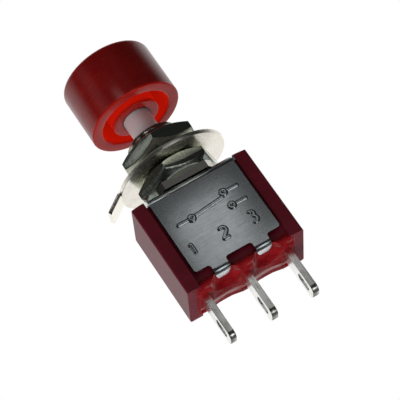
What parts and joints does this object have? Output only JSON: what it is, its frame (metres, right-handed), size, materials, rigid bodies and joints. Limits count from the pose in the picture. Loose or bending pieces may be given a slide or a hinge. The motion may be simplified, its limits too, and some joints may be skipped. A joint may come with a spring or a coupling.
{
  "type": "pushbutton switch",
  "caption": "Miniature panel-mount momentary pushbutton switch: round red cap on a sprung plunger, threaded bushing with hex nuts and tabbed washer, steel frame over a red case, solder lugs.",
  "frame": {"origin": "on the axis of the threaded bushing, at the top face of the steel frame", "axes": "+Z along the bushing towards the cap, X along the row of terminals with the common terminal at -X, -Y out of the marked face"},
  "size_m": [0.0147, 0.0122, 0.0334],
  "materials": {
    "case_red": "dark red moulded thermoset, satin",
    "base_red": "dark red moulding",
    "epoxy_red": "glossy red potting",
    "frame_steel": "brushed satin steel",
    "nickel": "bright nickel plate",
    "nut_nickel": "bright nickel plate",
    "washer_steel": "bright plated steel",
    "spring_wire": "drawn spring wire",
    "terminal_tin": "bright tin plate",
    "silver": "silver contact",
    "cap_red": "glossy red moulding",
    "plunger_white": "natural white nylon",
    "contact_copper": "copper alloy strip"
  },
  "bodies": {
    "housing": {"case": "case_red", "terminal_base": "base_red", "epoxy_seal": "epoxy_red", "frame": "frame_steel", "bushing": "nickel", "lower_nut": "nut_nickel", "locating_washer": "washer_steel", "upper_nut": "nut_nickel", "spring_seat": "washer_steel", "return_spring": "spring_wire", "terminal_common": "terminal_tin", "terminal_normally_open": "terminal_tin", "terminal_normally_closed": "terminal_tin", "contact_normally_open": "silver", "contact_normally_closed": "silver", "arm_spring": "spring_wire"},
    "button": {"cap": "cap_red", "plunger": "plunger_white", "actuator": "plunger_white"},
    "contact_arm": {"contact_arm": "contact_copper", "moving_contact": "silver"}
  },
  "joints": [
    {"name": "button_press", "type": "slide", "parent": "housing", "child": "button", "axis": [0, 0, -1], "range_m": [0, 0.0015], "stiffness_N_per_m": 600, "springref_m": -0.0025, "deforming": ["return_spring"]},
    {"name": "arm_rock", "type": "hinge", "parent": "housing", "child": "contact_arm", "pos_m": [-0.0047, 0, -0.00477], "axis": [0, 1, 0], "range_deg": [0, 17.72], "deforming": ["arm_spring"]}
  ],
  "couplings": [
    {"joint": "arm_rock", "follows": "button_press", "rad_per_m": 205.95}
  ]
}
